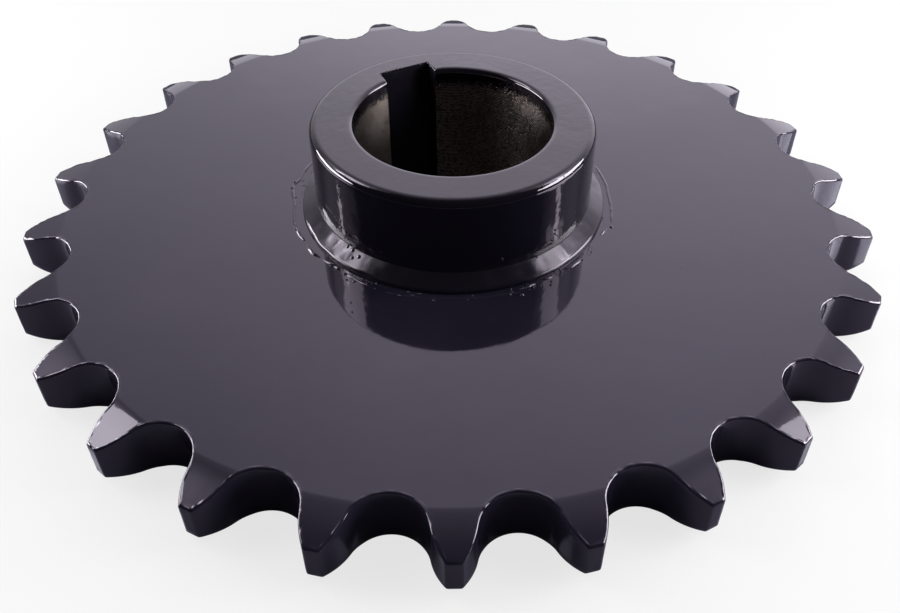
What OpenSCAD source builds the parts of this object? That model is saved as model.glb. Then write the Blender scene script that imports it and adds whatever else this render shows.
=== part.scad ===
// Roller chain sprocket of welded construction, at its real size in millimetres.
// A toothed plate is located on the shoulder of a turned hub and welded to it on both sides.
// The bore's axis is Z, z = 0 is the back face, +Z points to the hub's nose and the keyway is at +Y.

/* [Chain] */
// Pitch of the roller chain
chain_pitch = 25.4; // [19.05:0.01:31.75]
// Diameter of the chain's rollers
roller_d = 15.88; // [11.9:0.01:16.5]
// Number of teeth
teeth = 26; // [20:1:40]

/* [Teeth] */
// Play between a roller and its seat, on the radius
seat_play = 0.26; // [0.05:0.01:0.5]
// Angle of the round seat between two flanks
seat_angle = 145; // [130:1:155]
// Radius of the crowned flank above the seat
flank_r = 18; // [15:0.5:24]
// Height of a tooth above the pitch circle
tooth_rise = 5.24; // [3.5:0.01:5.6]
// Depth of the tooth bevel at the tip, on each face
bevel_depth = 2.7; // [0.5:0.1:4]
// Width of the tooth bevel, measured in from the tip
bevel_run = 10.3; // [6:0.1:14]
// Radius of the bevel's slight crown
bevel_crown_r = 55; // [30:1:200]

/* [Plate] */
// Thickness of the toothed plate
plate_t = 14; // [11:0.5:20]

/* [Hub] */
// Diameter of the hub
hub_d = 72; // [70:1:100]
// Height of the hub above the plate's front face
hub_rise = 23.9; // [12:0.1:50]
// Radius on the hub's outer front edge
hub_round = 2; // [0.5:0.1:2.4]
// Diameter of the bore
bore_d = 50; // [30:1:52]
// Chamfer at both mouths of the bore
bore_chamfer = 1.2; // [0.2:0.1:1.4]
// Width of the hub's shoulder that seats on the plate
shoulder_w = 3; // [2:0.1:4]
// Gap between the hub's spigot and the plate's hole, on the radius
spigot_gap = 0.1; // [0.05:0.01:0.2]

/* [Keyway] */
// Width of the keyway
key_w = 14; // [8:1:16]
// Depth of the keyway below the bore's wall
key_depth = 3.8; // [2.8:0.1:4.3]

/* [Welds] */
// Leg of the front weld along the plate
front_leg_out = 3.9; // [2.5:0.1:6]
// Leg of the front weld up the hub
front_leg_up = 3.65; // [2.5:0.05:6]
// Height of the front weld's steep toe
toe_h = 1; // [0.3:0.1:1.5]
// Width of the front weld's steep toe
toe_w = 0.5; // [0.2:0.1:0.8]
// Width of the groove filled by the rear weld, on the plate and on the spigot
groove = 2; // [1:0.1:2.5]

/* [Hidden] */
$fn = 96;
// Length by which a cutter runs past the face that it opens
past = 1;
paint = [0.13, 0.12, 0.15];
step = 360 / teeth;
pitch_r = chain_pitch / (2 * sin(step / 2));
root_r = pitch_r - roller_d / 2;
tip_r = pitch_r + tooth_rise;
seat_r = roller_d / 2 + seat_play;
seat_x = root_r + seat_r;
// Direction from a seat's centre to its flank's centre, through the point where the two arcs meet
meet = [-cos(seat_angle / 2), sin(seat_angle / 2)];
flank_c = [seat_x, 0] + (seat_r + flank_r) * meet;
hub_r = hub_d / 2;
bore_r = bore_d / 2;
spigot_r = hub_r - shoulder_w;
hole_r = spigot_r + spigot_gap;
hub_top = plate_t + hub_rise;

// Room between two neighbouring teeth, on +X: the roller's seat, widened outwards by the two flanks
module tooth_gap() {
    middle = ([seat_x, 0] + flank_c) / 2;
    outer = (tip_r + past) * [cos(step / 2), sin(step / 2)];
    translate([seat_x, 0]) circle(seat_r);
    difference() {
        polygon([[seat_x, 0], middle, outer, [outer.x, -outer.y], [middle.x, -middle.y]]);
        for (side = [-1, 1]) translate([flank_c.x, side * flank_c.y]) circle(flank_r);
    }
}

// What the bevel takes off the front corner of the rim, in section
module rim_corner() {
    start = [tip_r - bevel_run, plate_t];
    end = [tip_r, plate_t - bevel_depth];
    half_chord = norm(end - start) / 2;
    normal = [bevel_depth, bevel_run] / (2 * half_chord);
    crown_c = (start + end) / 2 - sqrt(bevel_crown_r ^ 2 - half_chord ^ 2) * normal;
    difference() {
        polygon([
            start,
            [start.x, plate_t + past],
            [tip_r + past, plate_t + past],
            [tip_r + past, end.y],
            end
        ]);
        translate(crown_c) circle(bevel_crown_r);
    }
}

// Turned blank: bevelled rim, hole for the spigot and half of the rear weld's groove
module plate_blank() {
    rotate_extrude() difference() {
        polygon([
            [hole_r + groove, 0],
            [tip_r, 0],
            [tip_r, plate_t],
            [hole_r, plate_t],
            [hole_r, groove]
        ]);
        rim_corner();
        translate([0, plate_t]) mirror([0, 1]) rim_corner();
    }
}

module toothed_plate() {
    color(paint) difference() {
        plate_blank();
        for (i = [0:teeth - 1]) rotate(90 + (i + 0.5) * step)
            translate([0, 0, -past]) linear_extrude(plate_t + 2 * past) tooth_gap();
    }
}

// Half section of the hub: spigot, shoulder and rounded nose
module hub_section() {
    polygon([
        [bore_r + bore_chamfer, 0],
        [spigot_r - groove, 0],
        [spigot_r, groove],
        [spigot_r, plate_t],
        [hub_r, plate_t],
        [hub_r, hub_top - hub_round],
        [hub_r - hub_round, hub_top - hub_round],
        [hub_r - hub_round, hub_top],
        [bore_r + bore_chamfer, hub_top],
        [bore_r, hub_top - bore_chamfer],
        [bore_r, bore_chamfer]
    ]);
    translate([hub_r - hub_round, hub_top - hub_round]) circle(hub_round);
}

module hub() {
    color(paint) difference() {
        rotate_extrude() hub_section();
        translate([-key_w / 2, 0, -past]) cube([key_w, bore_r + key_depth, hub_top + 2 * past]);
    }
}

// Fillet weld in the corner between the plate's front face and the hub
module front_weld() {
    color(paint) rotate_extrude() polygon([
        [hub_r, plate_t],
        [hub_r + front_leg_out, plate_t],
        [hub_r + front_leg_out - toe_w, plate_t + toe_h],
        [hub_r, plate_t + front_leg_up]
    ]);
}

// Groove weld on the hidden side, dressed flush with the plate's back face
module rear_weld() {
    color(paint) rotate_extrude() polygon([
        [spigot_r - groove, 0],
        [hole_r + groove, 0],
        [hole_r, groove],
        [spigot_r, groove]
    ]);
}

toothed_plate();
hub();
front_weld();
rear_weld();
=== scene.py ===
import math

import bmesh
import bpy
import numpy as np
from mathutils import Matrix, Vector


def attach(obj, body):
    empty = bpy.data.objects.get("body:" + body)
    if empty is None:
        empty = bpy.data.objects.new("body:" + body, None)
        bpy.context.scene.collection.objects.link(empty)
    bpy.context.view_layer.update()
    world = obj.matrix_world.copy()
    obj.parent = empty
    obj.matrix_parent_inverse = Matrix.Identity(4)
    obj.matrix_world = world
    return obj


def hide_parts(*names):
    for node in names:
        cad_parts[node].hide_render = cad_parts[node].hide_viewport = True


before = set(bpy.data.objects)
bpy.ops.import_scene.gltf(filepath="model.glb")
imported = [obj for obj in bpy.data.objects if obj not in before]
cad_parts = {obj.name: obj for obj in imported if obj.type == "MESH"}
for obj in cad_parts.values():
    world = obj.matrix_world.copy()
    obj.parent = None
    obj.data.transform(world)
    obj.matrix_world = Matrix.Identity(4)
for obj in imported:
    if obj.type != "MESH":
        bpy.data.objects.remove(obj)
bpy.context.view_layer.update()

MM = 0.001

# Sizes of the CAD model
CHAIN_PITCH = 25.4
ROLLER_D = 15.88
TEETH = 26
SEAT_PLAY = 0.26
SEAT_ANGLE = 145
FLANK_R = 18
TOOTH_RISE = 5.24
BEVEL_DEPTH = 2.7
BEVEL_RUN = 10.3
BEVEL_CROWN_R = 55
PLATE_T = 14
HUB_R = 36
HUB_TOP = 37.9
HUB_ROUND = 2
BORE_R = 25
BORE_CHAMFER = 1.2
SPIGOT_R = 33
HOLE_R = 33.1
KEY_HALF = 7
KEY_FLOOR = 28.8
WELD_OUT = 3.9
WELD_UP = 3.65
GROOVE = 2

STEP = 2 * math.pi / TEETH
PITCH_R = CHAIN_PITCH / (2 * math.sin(STEP / 2))
ROOT_R = PITCH_R - ROLLER_D / 2
TIP_R = PITCH_R + TOOTH_RISE
SEAT_R = ROLLER_D / 2 + SEAT_PLAY
BEVEL_START = TIP_R - BEVEL_RUN

# Points round each piece, and samples for each point while an outline is softened
PLATE_POINTS = TEETH * 95
BORE_POINTS = 720
WELD_POINTS = 1080
FINE = 10
# Samples on an arc of a tooth gap, on half a tooth's tip and on the bore
ARC_SAMPLES = 300
TIP_SAMPLES = 100
BORE_SAMPLES = 2000
# How softly the corners of the teeth and of the keyway are rounded, in samples
TOOTH_SPREAD = 4
KEY_SPREAD = 11


def circle_points(centre, radius, start, end, count):
    """Points on an arc between two angles in radians."""
    t = np.linspace(start, end, count)
    return np.stack([centre[0] + radius * np.cos(t), centre[1] + radius * np.sin(t)], 1)


def radius_of(points):
    """Distances of points from the axis."""
    return np.hypot(*points.T)


def angle_of(points):
    """Angles of points round the axis, in radians."""
    return np.arctan2(points[:, 1], points[:, 0])


def even_loop(points, count):
    """A closed line through the points, resampled at equal steps."""
    closed = np.vstack([points, points[:1]])
    length = np.concatenate([[0], np.cumsum(radius_of(np.diff(closed, axis=0)))])
    place = np.arange(count) * length[-1] / count
    return np.stack([np.interp(place, length, closed[:, k]) for k in (0, 1)], 1)


def soft_loop(points, spread):
    """A closed line with its corners rounded by a bell-shaped average of nearby samples."""
    reach = 3 * spread
    weight = np.exp(-0.5 * (np.arange(-reach, reach + 1) / spread) ** 2)
    weight /= weight.sum()
    padded = np.vstack([points[-reach:], points, points[:reach]])
    return np.stack([np.convolve(padded[:, k], weight, "valid") for k in (0, 1)], 1)


def outward(points):
    """Outward normals of a closed line that runs anticlockwise."""
    along = np.roll(points, -1, 0) - np.roll(points, 1, 0)
    along /= radius_of(along)[:, None]
    return np.stack([along[:, 1], -along[:, 0]], 1)


def soft_outline(points, count, spread):
    """Points on a closed line with softened corners, and its outward normals there."""
    fine = soft_loop(even_loop(points, count * FINE), spread)
    return fine[::FINE], outward(fine)[::FINE]


def even_out(values, samples):
    """Moving average round a closed loop, over an odd number of samples."""
    reach = samples // 2
    padded = np.concatenate([values[-reach:], values, values[:reach]])
    return np.convolve(padded, np.ones(samples) / samples, "valid")


def one_way(angle, samples):
    """Angles round a loop, averaged and without backward steps, so that no faces fold over."""
    angle = np.unwrap(angle)
    sense = np.sign(angle[-1] - angle[0])
    steady = np.linspace(0, sense * 2 * math.pi, len(angle), endpoint=False)
    extra = sense * np.maximum.accumulate(sense * angle) - steady
    return steady + even_out(extra, samples)


def smooth_step(t):
    """Eases a fraction in and out."""
    return t * t * (3 - 2 * t)


def loop_noise(count, cells, seed):
    """Smooth random values from -1 to 1 round a closed loop."""
    values = np.random.default_rng(seed).uniform(-1, 1, cells)
    place = np.arange(count) * cells / count
    left = place.astype(int)
    t = smooth_step(place - left)
    return values[left] * (1 - t) + values[(left + 1) % cells] * t


def waves(count, base, *layers):
    """A base value round a loop, with layers of noise, each of a size, a cell count and a seed."""
    total = np.full(count, float(base))
    for size, cells, seed in layers:
        total = total + size * loop_noise(count, cells, seed)
    return total


def sheet_noise(rows, columns, row_cells, cells, seed):
    """Smooth random values from -1 to 1 on a sheet that closes round its columns."""
    lines = [loop_noise(columns, cells, seed + k) for k in range(row_cells + 2)]
    made = []
    for place in np.arange(rows) * row_cells / max(rows - 1, 1):
        k = int(place)
        t = smooth_step(place - k)
        made.append(lines[k] * (1 - t) + lines[k + 1] * t)
    return np.array(made)


def ring(radius, angle, z):
    """One ring of points from its radii, angles and heights, each a number or an array."""
    radius, angle, z = np.broadcast_arrays(radius, angle, z)
    return np.stack([radius * np.cos(angle), radius * np.sin(angle), z], 1)


def flat_ring(points, z):
    """One ring of points from a closed line and its heights."""
    return np.column_stack([points, np.broadcast_to(z, len(points))])


def add_piece(name, points, faces, materials):
    """Makes a smooth mesh object from points in millimetres, on the part's only body."""
    mesh = bpy.data.meshes.new(name)
    mesh.from_pydata((np.asarray(points) * MM).tolist(), [], faces)
    for material in materials:
        mesh.materials.append(material)
    work = bmesh.new()
    work.from_mesh(mesh)
    bmesh.ops.recalc_face_normals(work, faces=work.faces)
    work.to_mesh(mesh)
    work.free()
    mesh.shade_smooth()
    piece = bpy.data.objects.new(name, mesh)
    bpy.context.scene.collection.objects.link(piece)
    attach(piece, "root")
    return piece


def ring_piece(name, rings, materials):
    """A closed piece from rings of points, each joined to the next and the last to the first."""
    points = np.array(rings)
    rows, columns = points.shape[:2]
    row = np.arange(rows)[:, None] * columns
    below = np.roll(row, -1)
    here = np.arange(columns)[None, :]
    beside = (here + 1) % columns
    corners = [row + here, row + beside, below + beside, below + here]
    faces = np.stack(corners, -1).reshape(-1, 4)
    return add_piece(name, points.reshape(-1, 3), faces.tolist(), materials)


def tooth_outline():
    """Closed outline of the toothed plate, with a tooth centred on +Y."""
    meet = math.radians(180 - SEAT_ANGLE / 2)
    seat = np.array([ROOT_R + SEAT_R, 0])
    flank = seat + (SEAT_R + FLANK_R) * np.array([math.cos(meet), math.sin(meet)])
    away = math.hypot(*flank)
    turn = math.acos((TIP_R**2 - away**2 - FLANK_R**2) / (2 * FLANK_R * away))
    tip_t = math.atan2(flank[1], flank[0]) - turn
    tip = flank + FLANK_R * np.array([math.cos(tip_t), math.sin(tip_t)])
    arcs = [
        (seat, SEAT_R, math.pi, meet, ARC_SAMPLES),
        (flank, FLANK_R, meet - math.pi, tip_t, ARC_SAMPLES),
        ((0, 0), TIP_R, math.atan2(tip[1], tip[0]), STEP / 2, TIP_SAMPLES),
    ]
    half = np.vstack([circle_points(*arc)[:-1] for arc in arcs])
    gap = np.vstack([half[:0:-1] * [1, -1], half])
    turns = math.pi / 2 + (np.arange(TEETH) + 0.5) * STEP
    spins = [[[math.cos(a), math.sin(a)], [-math.sin(a), math.cos(a)]] for a in turns]
    return soft_outline(np.vstack([gap @ spin for spin in spins]), PLATE_POINTS, TOOTH_SPREAD)


def face_z(radius):
    """Height of the plate's front face: flat, then the crowned bevel of the teeth."""
    half = math.hypot(BEVEL_RUN, BEVEL_DEPTH) / 2
    drop = math.sqrt(BEVEL_CROWN_R**2 - half**2)
    centre_r = (BEVEL_START + TIP_R) / 2 - drop * BEVEL_DEPTH / (2 * half)
    centre_z = PLATE_T - BEVEL_DEPTH / 2 - drop * BEVEL_RUN / (2 * half)
    bevel = centre_z + np.sqrt(np.maximum(BEVEL_CROWN_R**2 - (radius - centre_r) ** 2, 0))
    return np.where(radius > BEVEL_START, bevel, PLATE_T)


# Radii of the rings on the plate's two faces, close together where the bevel starts
FRONT_RADII = [
    HOLE_R, 36.5, 45, 75, 95, 98.5, 99.9, 100.2, 100.45, 101.5, 103.5, 105.5, 107.5, 109.2
]
BACK_RADII = [108, 105.5, 103, 100.45, 100.15, 60, HOLE_R + GROOVE]
# Least step between two rings where the teeth's outline cuts into them
RING_STEP = 0.02
# Mean radius of the front edge, radius of the back edge, and mean height of the front edge's lip
FRONT_CURVE = 0.5
BACK_CURVE = 0.35
LIP = 0.03
# Part of the lip's height at the ring behind it
LIP_FOOT = 0.6
# Distances in from the edge of the two rings behind it, and the most that each may be
NEAR_EDGE = (0.12, 0.5)
FAR_EDGE = (0.35, 1.4)
# Least share of the radius in the edge's normal that these distances are divided by
LEAST_LEAN = 0.25
# Angles in degrees of the rings round the front and the back edge
FRONT_TURNS = [0, 22, 45, 68, 90]
BACK_TURNS = [90, 45, 0]
# Rings on the cut wall between the edges, and the depth of its ripples
WALL_ROWS = 6
WALL_RIPPLE = 0.03
# Samples over which the angles of the front's rings are averaged
PLATE_BLEND = 5


def make_plate(material):
    """Toothed plate with rounded, beaded edges where the paint has drawn back."""
    outline, normal = tooth_outline()
    count = len(outline)
    curve = waves(count, FRONT_CURVE, (0.09, 820, 11), (0.06, 210, 12))
    lip = waves(count, LIP, (0.07, 1120, 13))
    edge = outline - curve[:, None] * normal
    angle = one_way(angle_of(edge), PLATE_BLEND)
    edge_r = radius_of(edge)
    lean = np.maximum((edge * normal).sum(1) / edge_r, LEAST_LEAN)
    near_r = edge_r - np.minimum(NEAR_EDGE[0] / lean, NEAR_EDGE[1])
    far_r = edge_r - np.minimum(FAR_EDGE[0] / lean, FAR_EDGE[1])
    rings = []
    for k, radius in enumerate(FRONT_RADII):
        r = np.minimum(radius, far_r - RING_STEP * (len(FRONT_RADII) - k))
        rings.append(ring(r, angle, face_z(r)))
    rings.append(ring(far_r, angle, face_z(far_r)))
    rings.append(ring(near_r, angle, face_z(near_r) + LIP_FOOT * lip))
    for t in np.radians(FRONT_TURNS):
        points = outline - (curve * (1 - math.sin(t)))[:, None] * normal
        z = face_z(radius_of(points)) + lip * math.cos(t) - curve * (1 - math.cos(t))
        rings.append(flat_ring(points, z))
    top_z = rings[-1][:, 2]
    low_z = PLATE_T - face_z(radius_of(outline)) + BACK_CURVE
    wobble = sheet_noise(WALL_ROWS, count, 3, 620, 21)
    for k in range(WALL_ROWS):
        part = (k + 1) / (WALL_ROWS + 1)
        points = outline + WALL_RIPPLE * wobble[k][:, None] * normal
        rings.append(flat_ring(points, top_z * (1 - part) + low_z * part))
    for t in np.radians(BACK_TURNS):
        points = outline - BACK_CURVE * (1 - math.sin(t)) * normal
        z = PLATE_T - face_z(radius_of(points)) + BACK_CURVE * (1 - math.cos(t))
        rings.append(flat_ring(points, z))
    low_r = radius_of(points)
    low_angle = angle_of(points)
    for k, radius in enumerate(BACK_RADII):
        r = np.minimum(radius, low_r - RING_STEP * (k + 1))
        rings.append(ring(r, low_angle, PLATE_T - face_z(r)))
    rings.append(ring(HOLE_R, low_angle, GROOVE))
    return ring_piece("sprocket_plate", rings, [material])


def bore_outline():
    """Closed outline of the bore with its keyway on +Y."""
    side = math.asin(KEY_HALF / BORE_R)
    points = np.vstack([
        circle_points((0, 0), BORE_R, math.pi / 2 + side, math.pi * 5 / 2 - side, BORE_SAMPLES),
        [[KEY_HALF, KEY_FLOOR], [-KEY_HALF, KEY_FLOOR]],
    ])
    return soft_outline(points, BORE_POINTS, KEY_SPREAD)


# Radius at the keyway's mouth, and the depth below the mouth at which its paint turns to a matt,
# darkened copy, as painted shade in the recess
KEY_ROUND = 0.3
KEY_LIP = 0.4
# Samples over which the bore's chamfer and the keyway's rounding run into each other, and over
# which the angles of the hub's rings are averaged
MOUTH_BLEND = 17
HUB_BLEND = 13
# How far a point may be from the bore or the keyway and still count as a part of it
ON_BORE = 0.05
NEAR_BORE = 0.1
# Rings along the bore and round the nose, and where the rings lie across the hub's front face
BORE_ROWS = 14
NOSE_ROWS = 11
FACE_PARTS = (0.05, 0.3, 0.6, 0.9, 0.99)
# Rings down the painted wall, how many of them the nose's swell lasts, and the gaps that are
# left between the rows of the bore, the nose and the wall
WALL_RINGS = 34
SWELL_ROWS = 5
BORE_GAP = 0.1
NOSE_GAP = 0.5
# Height of the wall's broad and small waves
BROAD_WAVE = 0.012
SMALL_WAVE = 0.01


def make_hub(paint, steel, slot):
    """Hub with a rounded nose, a wavy painted wall and a bare bore."""
    outline, normal = bore_outline()
    count = len(outline)
    in_bore = np.abs(radius_of(outline) - BORE_R) < ON_BORE
    mouth = even_out(np.where(in_bore, BORE_CHAMFER, KEY_ROUND), MOUTH_BLEND)
    rings = []
    for z in np.linspace(BORE_CHAMFER, HUB_TOP - BORE_CHAMFER - BORE_GAP, BORE_ROWS):
        rings.append(flat_ring(outline, z))
    for t in np.radians([90, 72, 54, 36, 18, 0]):
        points = outline + (mouth * (1 - math.sin(t)))[:, None] * normal
        rings.append(flat_ring(points, HUB_TOP - mouth * (1 - math.cos(t))))
    inner_r = radius_of(points)
    angle = one_way(angle_of(points), HUB_BLEND)
    nose = HUB_R - HUB_ROUND
    for part in FACE_PARTS:
        rings.append(ring(inner_r * (1 - part) + nose * part, angle, HUB_TOP))
    swell = waves(count, 0, (0.025, 90, 31))
    for t in np.radians(np.linspace(0, 90, NOSE_ROWS)):
        r = nose + HUB_ROUND * math.sin(t) + swell * math.sin(t)
        rings.append(ring(r, angle, HUB_TOP - HUB_ROUND * (1 - math.cos(t))))
    broad = sheet_noise(WALL_RINGS, count, 6, 60, 41)
    small = sheet_noise(WALL_RINGS, count, 16, 130, 71)
    for k, z in enumerate(np.linspace(HUB_TOP - HUB_ROUND - NOSE_GAP, PLATE_T, WALL_RINGS)):
        grow = min(1, (k + 1) / SWELL_ROWS)
        wave = BROAD_WAVE * broad[k] + SMALL_WAVE * small[k]
        rings.append(ring(HUB_R + swell * (1 - grow) + wave * grow, angle, z))
    rings.append(ring(SPIGOT_R, angle, PLATE_T))
    rings.append(ring(SPIGOT_R, angle, GROOVE))
    rings.append(ring(SPIGOT_R - GROOVE, angle, 0))
    rings.append(flat_ring(outline + BORE_CHAMFER * normal, 0))
    hub = ring_piece("hub_shell", rings, [paint, steel, slot])
    for face in hub.data.polygons:
        x, y, z = face.center / MM
        if math.hypot(x, y) < BORE_R + NEAR_BORE and z < HUB_TOP - BORE_CHAMFER:
            face.material_index = 1
        # Keyway walls below the lip get the matt copy of the paint, as painted shade in the recess
        elif abs(x) < KEY_HALF + NEAR_BORE and BORE_R - 1 < y < KEY_FLOOR + NEAR_BORE:
            face.material_index = 2 if z < HUB_TOP - KEY_LIP else 0
    return hub


def bump_at(angle, place, width):
    """A smooth hump of height 1 at a place round the axis, both in degrees."""
    away = (np.degrees(angle) - place + 180) % 360 - 180
    return np.exp(-0.5 * (away / width) ** 2)


# Starts, stops and a notch of the weld run: angle in degrees, width in degrees, height
WELD_MARKS = [
    (-174, 1.1, 0.06),
    (-167.5, 1, 0.07),
    (-161, 1.4, 0.12),
    (-76, 1.1, 0.05),
    (-71.8, 1, 0.07),
    (-55.5, 2, -0.12),
    (-46, 3, 0.08),
    (150, 2, 0.12),
    (20, 2, 0.1),
    (75, 1.5, 0.12),
]
# Radius of the weld's rolled toe, the angles in degrees between which it turns, how far it stays
# inside the weld's leg, and the height of its centre above the plate
TOE_R = 0.85
TOE_TOP = 53
TOE_END = -30
TOE_IN = 0.1
TOE_UP = 0.45
# How far the weld's mesh reaches into the hub, under the plate's face and above its leg
WELD_IN = 0.1
WELD_UNDER = 0.02
WELD_OVER = 0.08
# Rings up the weld's face and round its toe, and the power that keeps the face's ripples wide
WELD_ROWS = 14
TOE_ROWS = 11
RIPPLE_POWER = 0.6


def make_weld(material):
    """Fillet weld with soft ripples and a rolled toe."""
    angle = np.arange(WELD_POINTS) * 2 * math.pi / WELD_POINTS
    height = waves(WELD_POINTS, 0, (0.05, 70, 51), (0.03, 34, 52))
    for place, width, size in WELD_MARKS:
        height = height + size * bump_at(angle, place, width)
    centre = np.array([HUB_R + WELD_OUT - TOE_IN - TOE_R, PLATE_T + TOE_UP])
    lean = math.radians(TOE_TOP)
    upper = np.array([HUB_R - WELD_IN, PLATE_T + WELD_UP + WELD_OVER])
    toe = centre + TOE_R * np.array([math.cos(lean), math.sin(lean)])
    slope = toe - upper
    out = np.array([-slope[1], slope[0]]) / math.hypot(*slope)
    rings = []
    for part in np.linspace(0, 1, WELD_ROWS):
        lift = height * math.sin(math.pi * part) ** RIPPLE_POWER
        base = upper + part * slope
        rings.append(ring(base[0] + out[0] * lift, angle, base[1] + out[1] * lift))
    wander = waves(WELD_POINTS, 0, (0.07, 60, 53))
    for t in np.linspace(lean, math.radians(TOE_END), TOE_ROWS)[1:]:
        r = centre[0] + TOE_R * math.cos(t) + wander
        rings.append(ring(r, angle, centre[1] + TOE_R * math.sin(t)))
    rings.append(ring(centre[0] + 0.8 * TOE_R, angle, PLATE_T - WELD_UNDER))
    rings.append(ring(HUB_R - WELD_IN, angle, PLATE_T - WELD_UNDER))
    return ring_piece("weld_bead_front", rings, [material])


def loft(loops):
    """Points and faces of a skin over closed loops of points, capped at both ends."""
    points = np.vstack(loops)
    size = len(loops[0])
    faces = [list(range(size))[::-1], [len(points) - size + k for k in range(size)]]
    for k in range(len(loops) - 1):
        for j in range(size):
            a = k * size
            b = (j + 1) % size
            faces.append([a + j, a + b, a + size + b, a + size + j])
    return points, faces


def join(parts):
    """Several skins as one list of points and one of faces."""
    points, faces, start = [], [], 0
    for some, corners in parts:
        points.append(some)
        faces += [[start + c for c in face] for face in corners]
        start += len(some)
    return np.vstack(points), faces


# Section of a ridge: places across it as shares of its width, and how far it sinks into the plate
RIDGE_ACROSS = np.array([-0.5, -0.36, -0.18, 0, 0.18, 0.36, 0.5])
RIDGE_SINK = 0.04
# Height of a ridge's section for a height of 1 in the list
RIDGE_LIFT = 2.2


def ridge(path, width, height, seed):
    """A low ridge of paint on the plate, along a path of angles in degrees and radii."""
    places, radii = np.array(path, float).T
    steps = max(int(abs(places[-1] - places[0]) * 2), 12)
    t = np.linspace(0, 1, steps)
    marks = np.linspace(0, 1, len(path))
    place = np.radians(np.interp(t, marks, places))
    radius = np.interp(t, marks, radii)
    taper = np.minimum(1, np.minimum(t, 1 - t) * steps / 5 + 0.05)
    rough = waves(steps, 1, (0.35, max(steps // 3, 3), seed))
    loops = []
    for a, r, s, n in zip(place, radius, taper, rough):
        reach = r + RIDGE_ACROSS * width * (0.4 + 0.6 * s)
        lift = np.cos(RIDGE_ACROSS * math.pi) * RIDGE_LIFT * height * s * n
        upper = ring(reach, a, PLATE_T + lift)
        lower = ring(reach[::-1], a, PLATE_T - RIDGE_SINK)
        loops.append(np.vstack([upper, lower]))
    return loft(loops)


def dome(radius, angle, z, size, height, lean=0):
    """A nib of paint: a low dome at a radius and an angle in degrees, leaning outwards."""
    around_z = Matrix.Rotation(math.radians(angle), 3, "Z")
    turn = around_z @ Matrix.Rotation(math.radians(lean), 3, "Y")
    centre = np.array(around_z @ Vector((radius, 0, z)))
    around = np.linspace(0, 2 * math.pi, 11)[:-1]
    loops = []
    for part in np.radians([-20, 0, 25, 50, 75, 88]):
        points = ring(size * math.cos(part), around, height * math.sin(part))
        loops.append(points @ np.array(turn).T + centre)
    return loft(loops)


# Edge of the thick paint outside the weld: width, height, then angles in degrees and radii
RIDGES = [
    (
        0.9,
        0.06,
        [(129, 42), (132, 42.6), (137, 42.7), (142, 42.5), (146, 43.5), (150, 43.1), (155, 42.3)],
    ),
    (0.6, 0.04, [(154, 42.3), (158, 42), (163, 42.3), (168, 42.6), (172, 42.7)]),
    (0.9, 0.2, [(171, 42.7), (175, 42.5), (179.5, 42.1)]),
    (1, 0.22, [(182, 42.3), (187, 42.5), (190.5, 41.9)]),
    (0.8, 0.18, [(192, 41.7), (197.5, 41.1), (200.5, 41.3)]),
    (0.7, 0.12, [(203, 41.2), (207, 41.5), (211.5, 41.8), (216, 42)]),
    (0.6, 0.05, [(220, 41.9), (228, 41.7), (241, 40.8), (252, 41.2), (262, 41.4)]),
    (0.8, 0.16, [(262, 41.1), (265.5, 41.3), (271, 40.8)]),
    (0.7, 0.14, [(273, 40.7), (278, 41)]),
    (1.3, 0.14, [(284, 41), (292.5, 41.2)]),
    (0.6, 0.14, [(307.5, 41.1), (312, 41.9)]),
    (
        0.8,
        0.05,
        [(316.5, 42.4), (322, 42.1), (327, 41.8), (333, 41.5), (339, 41.8), (345, 41.8), (352, 42)],
    ),
    (0.7, 0.05, [(10, 42), (30, 42.3), (55, 41.8), (80, 42.2), (105, 42.6), (126, 42.2)]),
]

# Nibs on the plate, the weld and the hub: radius, angle in degrees, height of the base, size,
# height and, on slanted faces, the lean in degrees
NIBS = [
    (85.6, -54.7, 14, 0.3, 0.06),
    (92.8, -6.4, 14, 0.3, 0.06),
    (88.2, -168.1, 14, 0.3, 0.06),
    (63.3, -55.9, 14, 0.35, 0.08),
    (43.1, -95.8, 14, 0.5, 0.3),
    (41.8, -68.1, 14, 0.35, 0.2),
    (40.9, -163.5, 14, 0.4, 0.3),
    (41.6, -157, 14, 0.5, 0.3),
    (42.3, -152, 14, 0.45, 0.25),
    (43.6, 144, 14, 0.45, 0.35),
    (43.8, 147.5, 14, 0.4, 0.3),
    (42.9, -46.5, 14, 0.5, 0.3),
    (29.4, 100, 37.9, 0.35, 0.3),
    (29.2, 97.5, 37.9, 0.3, 0.3),
    (29.1, 94, 37.9, 0.4, 0.35),
    (29, 91.5, 37.9, 0.3, 0.25),
    (29.2, 80.5, 37.9, 0.3, 0.25),
    (35.2, -69.5, 37.1, 0.35, 0.3),
    (35.3, -71.5, 37, 0.4, 0.3),
    (35.6, -66.5, 36.6, 0.35, 0.25),
    (36.5, -162.9, 17.3, 0.55, 0.25, 36),
    (36.5, -160, 17.3, 0.6, 0.28, 36),
    (37.1, -155.9, 16.9, 0.55, 0.25, 36),
    (37.9, -158.3, 16.3, 0.5, 0.22, 36),
    (36.2, -84, 17.5, 0.35, 0.3, 40),
    (36, -74.8, 22.8, 0.4, 0.3, 90),
    (36, -74.7, 21.6, 0.35, 0.3, 90),
    (36, -167, 23.4, 0.35, 0.3, 90),
    (36, -167.1, 21.5, 0.4, 0.3, 90),
    (36, -165.8, 34, 0.35, 0.25, 90),
    (36, -165.9, 30.8, 0.3, 0.25, 90),
]

# Spatter beside the weld: from one angle in degrees to another, and how many specks
SPATTER = [(-100, -60, 70), (-170, -145, 36), (126, 160, 14), (-140, -104, 10), (-50, 125, 40)]
SPATTER_RADII = (40.1, 42.2)
SPATTER_SIZES = (0.12, 0.3)
# Dust in the paint all over the plate's face
DUST = 60
DUST_RADII = (46, 99)
DUST_SIZES = (0.08, 0.2)
# Height of a speck of spatter and of dust, as a share of its size
SPATTER_RISE = 0.6
DUST_RISE = 0.12


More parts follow.
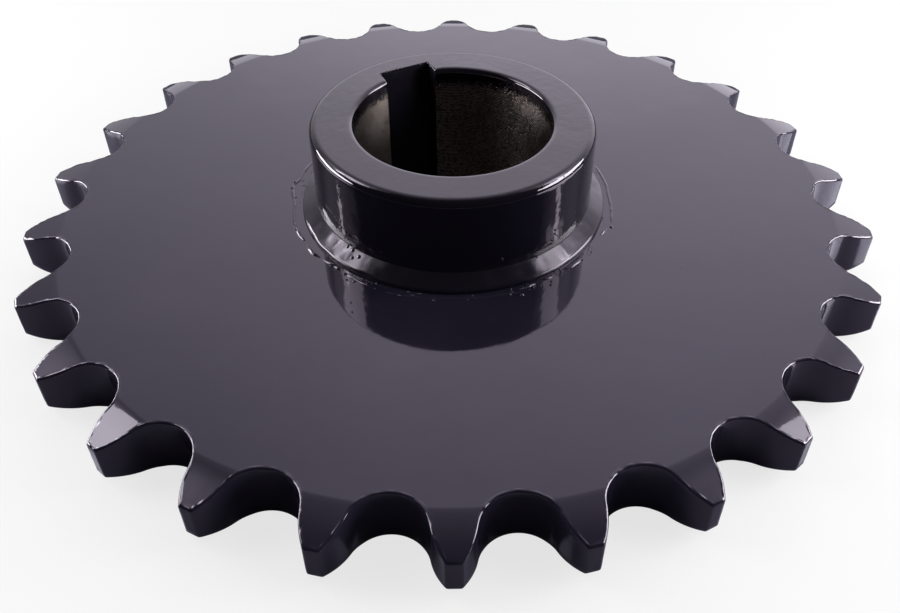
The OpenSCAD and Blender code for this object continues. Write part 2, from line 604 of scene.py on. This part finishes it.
def make_spatter(material):
    """Fine specks of paint and spatter between the weld and the ridge."""
    rng = np.random.default_rng(5)
    parts = [dome(*nib) for nib in NIBS]
    for low, high, count in SPATTER:
        for _ in range(count):
            size = rng.uniform(*SPATTER_SIZES)
            radius = rng.uniform(*SPATTER_RADII)
            place = rng.uniform(low, high)
            parts.append(dome(radius, place, PLATE_T, size, size * SPATTER_RISE))
    for _ in range(DUST):
        radius = math.sqrt(rng.uniform(DUST_RADII[0] ** 2, DUST_RADII[1] ** 2))
        size = rng.uniform(*DUST_SIZES)
        place = rng.uniform(0, 360)
        parts.append(dome(radius, place, PLATE_T, size, size * DUST_RISE))
    points, faces = join(parts)
    return add_piece("paint_nibs", points, faces, [material])


def make_ridges(material):
    """Edge of the thick paint that was laid round the weld."""
    parts = [ridge(path, width, height, k) for k, (width, height, path) in enumerate(RIDGES)]
    points, faces = join(parts)
    return add_piece("paint_ridge", points, faces, [material])


def feed(socket, value):
    """Links an input to another node's output, or sets it to a plain value."""
    if isinstance(value, bpy.types.NodeSocket):
        socket.id_data.links.new(value, socket)
    else:
        socket.default_value = value


def node_adder(tree):
    """A function that adds a node to a tree, with its settings and its inputs."""

    def add(kind, settings=None, **inputs):
        node = tree.nodes.new(kind)
        for key, value in (settings or {}).items():
            setattr(node, key, value)
        for key, value in inputs.items():
            feed(node.inputs[key.replace("_", " ")], value)
        return node

    return add


def new_material(name):
    """A material with its shader and a function that adds nodes to it."""
    material = bpy.data.materials.new(name)
    material.use_nodes = True
    shader = material.node_tree.nodes["Principled BSDF"]
    return material, shader, node_adder(material.node_tree)


def set_inputs(node, values):
    """Sets or links a node's inputs, each by its name."""
    for name, value in values.items():
        feed(node.inputs[name], value)


def grey(level):
    """A grey of a level from 0 to 1, or the given colour, as a colour with full alpha."""
    return (*level, 1) if isinstance(level, tuple) else (level, level, level, 1)


def ramp(add, factor, stops):
    """A colour ramp on a factor, from stops of place and colour."""
    node = add("ShaderNodeValToRGB", Fac=factor)
    while len(node.color_ramp.elements) < len(stops):
        node.color_ramp.elements.new(0.5)
    for element, (place, colour) in zip(node.color_ramp.elements, stops):
        element.position = place
        element.color = grey(colour)
    return node.outputs["Color"]


def mix(add, factor, first, second, kind="MIX"):
    """Two colours mixed, added or multiplied, by a factor."""
    node = add("ShaderNodeMix", {"data_type": "RGBA", "blend_type": kind}, Factor=factor)
    feed(node.inputs[6], first)
    feed(node.inputs[7], second)
    return node.outputs[2]


def blend(add, factor, first, second):
    """Two surfaces mixed by a factor."""
    node = add("ShaderNodeMixShader", Fac=factor)
    feed(node.inputs[1], first)
    feed(node.inputs[2], second)
    return node.outputs["Shader"]


def fade(add, value, low, high):
    """A value's way from low to high, as 0 to 1."""
    return add("ShaderNodeMapRange", Value=value, From_Min=low, From_Max=high).outputs["Result"]


def noise(add, place, scale, detail, roughness=0.5):
    """Noise with its fineness in cells per metre."""
    node = add("ShaderNodeTexNoise", Vector=place, Scale=scale, Detail=detail, Roughness=roughness)
    return node.outputs["Fac"]


def bumps(add, layers):
    """A normal bumped by layers, each of a height, a strength and a depth in metres."""
    below = {}
    for height, strength, depth in layers:
        node = add("ShaderNodeBump", Height=height, Strength=strength, Distance=depth, **below)
        below = {"Normal": node.outputs["Normal"]}
    return below["Normal"]


# Darkest and palest tone of the black paint, its roughness in the dull band on the hub, and the
# roughness of its clear coat
DEEP = (0.014, 0.012, 0.023)
PALE = (0.020, 0.017, 0.032)
DULL = 0.28
COAT_ROUGHNESS = 0.03
PAINT_IOR = 1.6
PAINT_TINT = (0.95, 0.86, 1)
# Fineness of the paint's clouds, dull smears, swells and specks, in cells per metre
CLOUDS = 35
SMEARS = 120
SWELLS = 60
SPECKS = 900
# Depth of the paint's swells, peel and specks, in metres
SWELL_DEPTH = 0.0006
PEEL_DEPTH = 0.00015
SPECK_DEPTH = 0.00002


def paint_material(name, peel, grit, rough, coat, waviness, painted_shade=1, dull_top=0, shine=0.85):
    """Glossy black paint with a slight violet tone, orange peel, specks and dull patches.

    peel and grit are the strengths of the peel and of the specks, and waviness sets the
    fineness of the peel in waves per metre. The colour is multiplied by a painted-shade factor,
    which darkens the copies on the hub, the weld and the keyway as painted shade. shine is the
    specular level, and below the height dull_top the paint is rough.
    """
    material, shader, add = new_material(name)
    place = add("ShaderNodeTexCoord").outputs["Object"]
    # Darker copies of the same paint for the hub, the weld and the keyway: painted shade
    deep = tuple(level * painted_shade for level in DEEP)
    pale = tuple(level * painted_shade for level in PALE)
    smear = noise(add, place, SMEARS, 6, 0.6)
    dull = ramp(add, smear, [(0.35, rough * 0.7), (0.75, rough * 1.5)])
    if dull_top:
        height = add("ShaderNodeSeparateXYZ", Vector=place).outputs["Z"]
        above = fade(add, height, (PLATE_T + WELD_UP) * MM, dull_top * MM)
        dull = mix(add, above, grey(DULL), dull)
    speck = add("ShaderNodeTexVoronoi", Vector=place, Scale=SPECKS).outputs["Distance"]
    normal = bumps(add, [
        (noise(add, place, SWELLS, 1), peel, SWELL_DEPTH),
        (noise(add, place, waviness, 1.5), peel, PEEL_DEPTH),
        (ramp(add, speck, [(0.0, 1.0), (0.16, 0.0)]), grit, SPECK_DEPTH),
    ])
    set_inputs(shader, {
        "Base Color": ramp(add, noise(add, place, CLOUDS, 4), [(0.3, deep), (0.7, pale)]),
        "Roughness": dull,
        "Normal": normal,
        "Coat Normal": normal,
        "IOR": PAINT_IOR,
        "Specular IOR Level": shine,
        "Specular Tint": grey(PAINT_TINT),
        "Coat Weight": coat,
        "Coat Roughness": COAT_ROUGHNESS,
    })
    return material


# Heights in metres between which the overspray in the bore grows dense
SPRAY_LOW = 0.031
SPRAY_HIGH = 0.0362
# Colours of the steel's tool lines, of its stains and of the overspray
STEEL_DARK = (0.08, 0.07, 0.067)
STEEL_LIGHT = (0.54, 0.48, 0.455)
STAIN = (0.62, 0.55, 0.5)
OVERSPRAY = (0.014, 0.012, 0.016)
# Roughness of the tool lines' hollows and crests, and of the overspray
STEEL_ROUGHNESS = (0.21, 0.28)
SPRAY_ROUGHNESS = 0.1
# Fineness of the tool lines, of the grain and of the stains, in cells per metre
TOOL_LINES = 650
GRAIN = 1200
STAINS = 90
# Depth of the tool lines and of the grain, in metres, and the strength of both
LINE_DEPTH = 0.0001
GRAIN_DEPTH = 0.0003
STEEL_BUMP = 0.8
# How much the height counts against the grain in the overspray's edge
SPRAY_WEIGHT = 0.62


def steel_material():
    """Bare turned steel with fine slanted tool lines and black overspray towards the mouth."""
    material, shader, add = new_material("bore_steel")
    place = add("ShaderNodeTexCoord").outputs["Object"]
    lines = add(
        "ShaderNodeTexWave",
        {"bands_direction": "Z"},
        Vector=place,
        Scale=TOOL_LINES,
        Distortion=2,
        Detail=3,
        Detail_Scale=3,
    ).outputs["Fac"]
    grain = noise(add, place, GRAIN, 3)
    height = add("ShaderNodeSeparateXYZ", Vector=place).outputs["Z"]
    speckled = add("ShaderNodeMath", {"operation": "MULTIPLY_ADD"})
    feed(speckled.inputs[0], fade(add, height, SPRAY_LOW, SPRAY_HIGH))
    feed(speckled.inputs[1], SPRAY_WEIGHT)
    feed(speckled.inputs[2], grain)
    spray = ramp(add, speckled.outputs["Value"], [(0.78, 0.0), (0.92, 1.0)])
    bare = ramp(add, lines, [(0.2, STEEL_DARK), (0.8, STEEL_LIGHT)])
    stain = ramp(add, noise(add, place, STAINS, 3), [(0.35, STAIN), (0.7, (1, 1, 1))])
    pits = ramp(add, grain, [(0.36, 0.35), (0.52, 1.0)])
    stained = mix(add, 1, bare, stain, "MULTIPLY")
    pitted = mix(add, 1, stained, pits, "MULTIPLY")
    turned = ramp(add, lines, [(0.1, STEEL_ROUGHNESS[0]), (0.9, STEEL_ROUGHNESS[1])])
    around = add("ShaderNodeTangent", {"direction_type": "RADIAL", "axis": "Z"})
    layers = [(lines, STEEL_BUMP, LINE_DEPTH), (grain, STEEL_BUMP, GRAIN_DEPTH)]
    set_inputs(shader, {
        "Base Color": mix(add, spray, pitted, grey(OVERSPRAY)),
        "Metallic": 1,
        "Roughness": mix(add, spray, turned, grey(SPRAY_ROUGHNESS)),
        "Normal": bumps(add, layers),
        "Tangent": around.outputs["Tangent"],
        "Anisotropic": 0.95,
        "Anisotropic Rotation": 0.25,
    })
    return material


# The photograph's camera, found by fitting the sprocket's outline: its place, the direction that
# it looks in, its roll in degrees, and its lens on a 36 mm sensor with the shift of the frame
CAMERA_PLACE = (-94.28, -181.11, 160.20)
CAMERA_AHEAD = (0.37060, 0.63920, -0.67386)
CAMERA_ROLL = 1.386
CAMERA_SENSOR = 36
CAMERA_LENS = 37.257
CAMERA_SHIFT = -0.0399
CAMERA_CLIP = 5


def make_camera():
    """Camera at the photograph's viewing angle."""
    ahead = Vector(CAMERA_AHEAD).normalized()
    roll = math.radians(CAMERA_ROLL)
    level = ahead.cross(Vector((0, 0, 1))).normalized()
    above = level.cross(ahead)
    right = math.cos(roll) * level + math.sin(roll) * above
    up = right.cross(ahead)
    camera = bpy.data.objects.new("camera", bpy.data.cameras.new("camera"))
    turn = Matrix((right, up, -ahead)).transposed()
    camera.matrix_world = Matrix.Translation(Vector(CAMERA_PLACE) * MM) @ turn.to_4x4()
    camera.data.sensor_width = CAMERA_SENSOR
    camera.data.lens = CAMERA_LENS
    camera.data.shift_x = CAMERA_SHIFT
    camera.data.clip_start = CAMERA_CLIP * MM
    bpy.context.scene.collection.objects.link(camera)
    bpy.context.scene.camera = camera


# Lamps: name, shape, place, width, height and radiance. Each faces the middle of the part
LAMPS = [
    ("left_box", "RECTANGLE", (-279, 188, 335), 165, 125, 3),
    ("left_tube", "RECTANGLE", (-272, 217, 262), 22, 60, 9),
    ("left_disc", "ELLIPSE", (-325, 226, 85), 330, 115, 10),
    ("right_box", "RECTANGLE", (293, -157, 300), 120, 100, 2.6),
    ("right_tube", "RECTANGLE", (303, -161, 240), 20, 55, 8),
    ("right_disc", "ELLIPSE", (322, -200, 135), 330, 160, 9),
]


def make_lamps():
    """Lamps beside the part, each turned to face it."""
    for name, shape, place, width, height, radiance in LAMPS:
        lamp = bpy.data.lights.new(name, "AREA")
        lamp.shape = shape
        lamp.size = width * MM
        lamp.size_y = height * MM
        area = lamp.size * lamp.size_y * (math.pi / 4 if shape == "ELLIPSE" else 1)
        lamp.energy = radiance * area * math.pi
        holder = bpy.data.objects.new(name, lamp)
        holder.location = Vector(place) * MM
        holder.rotation_mode = "QUATERNION"
        holder.rotation_quaternion = holder.location.to_track_quat("Z", "Y")
        holder.visible_camera = False
        bpy.context.scene.collection.objects.link(holder)


def heading(turn, rise=0):
    """A direction from its angle round the axis and its angle above the floor, in degrees."""
    a, e = math.radians(turn), math.radians(rise)
    return (math.cos(a) * math.cos(e), math.sin(a) * math.cos(e), math.sin(e))


# Brightness of the studio along the line from the darker front of the room to its white back
BACK = heading(60)
BACK_STOPS = [
    (-0.45, 0.02),
    (-0.3, 0.03),
    (-0.1, 0.04),
    (0.02, 0.07),
    (0.14, 0.14),
    (0.26, 0.23),
    (0.38, 0.34),
    (0.5, 0.47),
    (0.6, 0.6),
    (0.7, 0.8),
    (0.78, 0.97),
    (0.84, 1.05),
    (0.9, 1.4),
    (0.96, 1.3),
    (1, 1.2),
]
# Brightness from the room's left side to its right side
SIDE = heading(-30)
SIDE_STOPS = [(-0.65, 0.5), (-0.4, 0.7), (-0.1, 0.95), (0.1, 1), (0.5, 1.13)]
# Glows round the softboxes and below the ceiling: direction round and up, width in degrees, level
GLOWS = [(134, 41, 20, 0.8), (-17, 39, 20, 0.7), (136, 56, 12, 0.4), (-14, 56, 12, 0.3)]
# Tint of the room in the paint's reflections, and its strength as light on matt surfaces
ROOM_TINT = (1, 0.97, 1.07)
ROOM_LIGHT = 1.5


def make_world():
    """White room, darker in front and overhead, that shows pure white to the camera."""
    world = bpy.data.worlds.new("studio")
    bpy.context.scene.world = world
    world.use_nodes = True
    add = node_adder(world.node_tree)
    place = add("ShaderNodeTexCoord").outputs["Generated"]

    def along(direction, stops):
        """Brightness by how far a ray points in a direction, from -1 to 1."""
        dot = add("ShaderNodeVectorMath", {"operation": "DOT_PRODUCT"})
        feed(dot.inputs[0], place)
        feed(dot.inputs[1], direction)
        unit = fade(add, dot.outputs["Value"], -1, 1)
        return ramp(add, unit, [((at + 1) / 2, level) for at, level in stops])

    room = mix(add, 1, along(BACK, BACK_STOPS), along(SIDE, SIDE_STOPS), "MULTIPLY")
    for turn, rise, width, level in GLOWS:
        edge = math.cos(math.radians(width))
        stops = [(edge, 0), (0.6 * edge + 0.4, 0.5 * level), (0.2 * edge + 0.8, level)]
        room = mix(add, 1, room, along(heading(turn, rise), stops), "ADD")
    toned = mix(add, 1, room, grey(ROOM_TINT), "MULTIPLY")
    lifted = mix(add, 1, room, grey(ROOM_LIGHT), "MULTIPLY")
    path = add("ShaderNodeLightPath").outputs
    mirrored = mix(add, path["Is Glossy Ray"], lifted, toned)
    seen = mix(add, path["Is Camera Ray"], mirrored, grey(1))
    feed(world.node_tree.nodes["Background"].inputs["Color"], seen)


# Half the floor's width, and how far it lies below the part
FLOOR_HALF = 3000
FLOOR_DROP = 0.05
# How much of the shadow the camera sees, and how much of the painted pool of light the paint sees
# in the floor
SHADOW_SHARE = 0.25
POOL_SHARE = 0.25
# The painted pool of light that the paint sees in the floor, pale violet near the part and nearly
# black far from it, with the distances from the axis between which it fades
NEAR_POOL_LIGHT = (0.74, 0.7, 0.9)
FAR_POOL_DARK = (0.05, 0.05, 0.06)
POOL_FADE = (130, 190)


def make_floor():
    """Plain white floor under the part. Its shadow is lightened, and the paint sees it as glossy
    with a painted pool of light near the part.
    """
    corners = [(-1, -1), (1, -1), (1, 1), (-1, 1)]
    points = [(x * FLOOR_HALF * MM, y * FLOOR_HALF * MM, -FLOOR_DROP * MM) for x, y in corners]
    mesh = bpy.data.meshes.new("floor")
    mesh.from_pydata(points, [], [(0, 1, 2, 3)])
    floor = bpy.data.objects.new("floor", mesh)
    bpy.context.scene.collection.objects.link(floor)
    material, paper, add = new_material("floor_paper")
    set_inputs(paper, {"Base Color": grey(0.8), "Roughness": 0.9, "Specular IOR Level": 0})
    white = add("ShaderNodeEmission").outputs["Emission"]
    bright = add("ShaderNodeBsdfDiffuse", Color=grey(0.98)).outputs["BSDF"]
    lit = blend(add, SHADOW_SHARE, white, bright)
    away = add("ShaderNodeVectorMath", {"operation": "LENGTH"})
    feed(away.inputs[0], add("ShaderNodeTexCoord").outputs["Object"])
    far = fade(add, away.outputs["Value"], POOL_FADE[0] * MM, POOL_FADE[1] * MM)
    # Painted pool of light on the floor, seen only in reflections: pale near the part, dark far
    # away
    pool_light = mix(add, far, grey(NEAR_POOL_LIGHT), grey(FAR_POOL_DARK))
    painted_pool = add("ShaderNodeBsdfDiffuse", Color=pool_light).outputs["BSDF"]
    sheen = add("ShaderNodeBsdfGlossy", Color=(0.16, 0.16, 0.18, 1), Roughness=0.15)
    shiny = blend(add, POOL_SHARE, sheen.outputs["BSDF"], painted_pool)
    path = add("ShaderNodeLightPath").outputs
    mirrored = blend(add, path["Is Glossy Ray"], paper.outputs["BSDF"], shiny)
    seen = blend(add, path["Is Camera Ray"], mirrored, lit)
    feed(material.node_tree.nodes["Material Output"].inputs["Surface"], seen)
    mesh.materials.append(material)


bpy.context.scene.view_settings.view_transform = "Standard"
make_camera()
make_world()
make_lamps()
make_floor()

plate_paint = paint_material("plate_paint", 0.10, 0.10, 0.05, 0.2, 210)
# The hub, the weld and the keyway get darker copies of the same black paint as painted shade; the
# keyway's copy is also matt with little reflection
hub_paint = paint_material("hub_paint", 0.22, 0.25, 0.06, 0.25, 460, painted_shade=0.3, dull_top=20)
weld_paint = paint_material("weld_paint", 0.3, 0.25, 0.16, 0.1, 300, painted_shade=0.4)
slot_paint = paint_material("slot_paint", 0.3, 0.8, 0.5, 0, 460, painted_shade=0.6, shine=0.2)
bore_steel = steel_material()

plate = make_plate(plate_paint)
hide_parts("toothed_plate")
hub = make_hub(hub_paint, bore_steel, slot_paint)
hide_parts("hub")
weld = make_weld(weld_paint)
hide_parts("front_weld")
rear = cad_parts["rear_weld"]
rear.data.materials.clear()
rear.data.materials.append(weld_paint)
make_ridges(plate_paint)
make_spatter(plate_paint)
